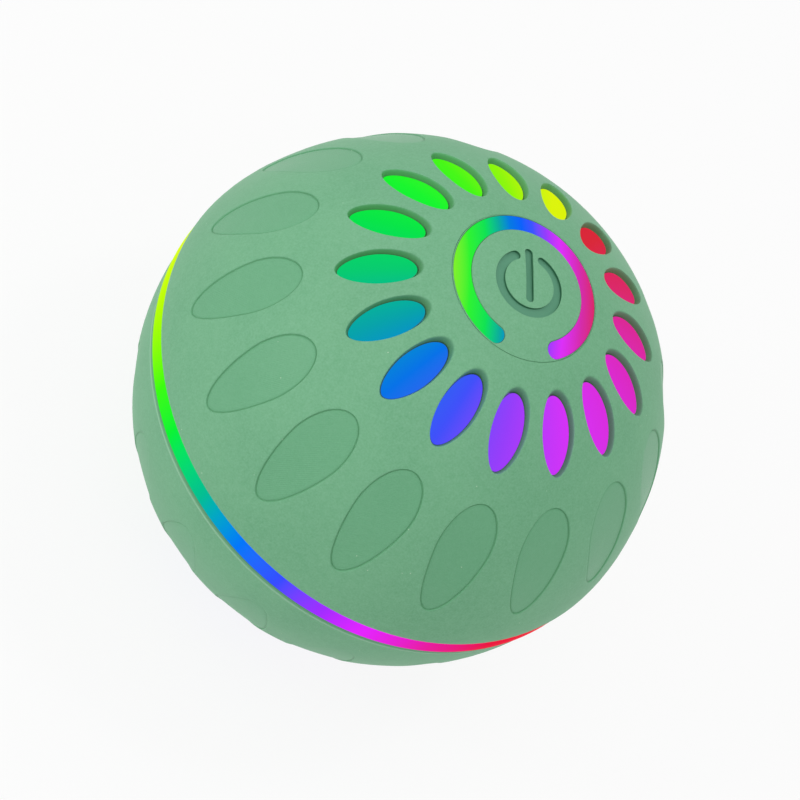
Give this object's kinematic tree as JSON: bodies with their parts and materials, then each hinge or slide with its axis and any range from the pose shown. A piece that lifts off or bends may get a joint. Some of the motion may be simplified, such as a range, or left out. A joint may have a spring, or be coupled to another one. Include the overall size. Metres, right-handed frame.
{
  "type": "smart dog ball",
  "caption": "Self-rolling lit play ball for dogs: windowed soft skins over a translucent shell, with a power button and ring light on top.",
  "frame": {"origin": "centre of the ball", "axes": "+Z along the polar axis out of the power button, +Y the upright direction of the power sign"},
  "size_m": [0.08, 0.08, 0.0784],
  "materials": {
    "skin": "matte moulded skin",
    "button": "matte moulded skin",
    "translucent": "frosted translucent",
    "seal": "matte",
    "nylon": "satin moulded",
    "board": "solder resist over laminate",
    "chip": "satin moulded",
    "led": "glossy moulded",
    "steel": "plated",
    "brass": "turned",
    "zinc": "bare casting",
    "battery": "shrink sleeve",
    "chassis": "moulded",
    "lead_red": "insulated wire",
    "lead_black": "insulated wire",
    "lead_white": "insulated wire"
  },
  "bodies": {
    "ball": {"top_skin": "skin", "bottom_skin": "skin", "top_shell": "translucent", "bottom_shell": "translucent", "light_band": "translucent", "ring_light_guide": "translucent", "upper_seal": "seal", "lower_seal": "seal", "button_seal": "seal", "battery_strap": "nylon", "gearbox_cover": "nylon", "battery_connector": "nylon", "button_board": "board", "main_board": "board", "charge_board": "board", "switch_body": "chip", "controller_chip": "chip", "motion_sensor": "chip", "motor_end_cap": "chip", "top_led_1": "led", "top_led_2": "led", "top_led_3": "led", "top_led_4": "led", "shell_screw_1": "steel", "shell_screw_2": "steel", "shell_screw_3": "steel", "button_board_screw_1": "steel", "button_board_screw_2": "steel", "strap_screw_1": "steel", "strap_screw_2": "steel", "motor_screw_1": "steel", "motor_screw_2": "steel", "gearbox_screw_1": "steel", "gearbox_screw_2": "steel", "gearbox_screw_3": "steel", "main_board_screw_1": "steel", "main_board_screw_2": "steel", "charge_board_screw_1": "steel", "charge_board_screw_2": "steel", "motor_can": "steel", "idler_pin": "steel", "usb_port": "steel", "upper_bush": "brass", "lower_bush": "brass", "battery_cell": "battery", "chassis_plate": "chassis", "battery_lead": "lead_red", "motor_lead": "lead_black", "button_lead": "lead_white", "charge_lead": "lead_white"},
    "button": {"button_cap": "button", "switch_plunger": "nylon"},
    "hammer": {"output_shaft": "steel", "output_gear": "nylon", "hammer_weight": "zinc", "hammer_nut": "steel"},
    "idler": {"idler_gear": "nylon"},
    "rotor": {"motor_pinion": "brass", "motor_shaft": "steel"},
    "plug": {"port_plug": "skin"}
  },
  "joints": [
    {"name": "button_press", "type": "slide", "parent": "ball", "child": "button", "axis": [0, 0, -1], "range_m": [0, 0.0005], "stiffness_N_per_m": 3000, "springref_m": -0.0003},
    {"name": "hammer_spin", "type": "hinge", "parent": "ball", "child": "hammer", "pos_m": [0, 0, 0], "axis": [0, 0, 1], "continuous": true},
    {"name": "idler_spin", "type": "hinge", "parent": "ball", "child": "idler", "pos_m": [-0.00808, 0.01044, 0], "axis": [0, 0, 1], "continuous": true},
    {"name": "motor_spin", "type": "hinge", "parent": "ball", "child": "rotor", "pos_m": [-0.014, 0, 0], "axis": [0, 0, 1], "continuous": true},
    {"name": "plug_pull", "type": "slide", "parent": "ball", "child": "plug", "axis": [0, 0, -1], "range_m": [0, 0.0042]}
  ],
  "couplings": [
    {"joint": "idler_spin", "follows": "hammer_spin", "ratio": -3.4},
    {"joint": "motor_spin", "follows": "hammer_spin", "ratio": 10.2}
  ]
}
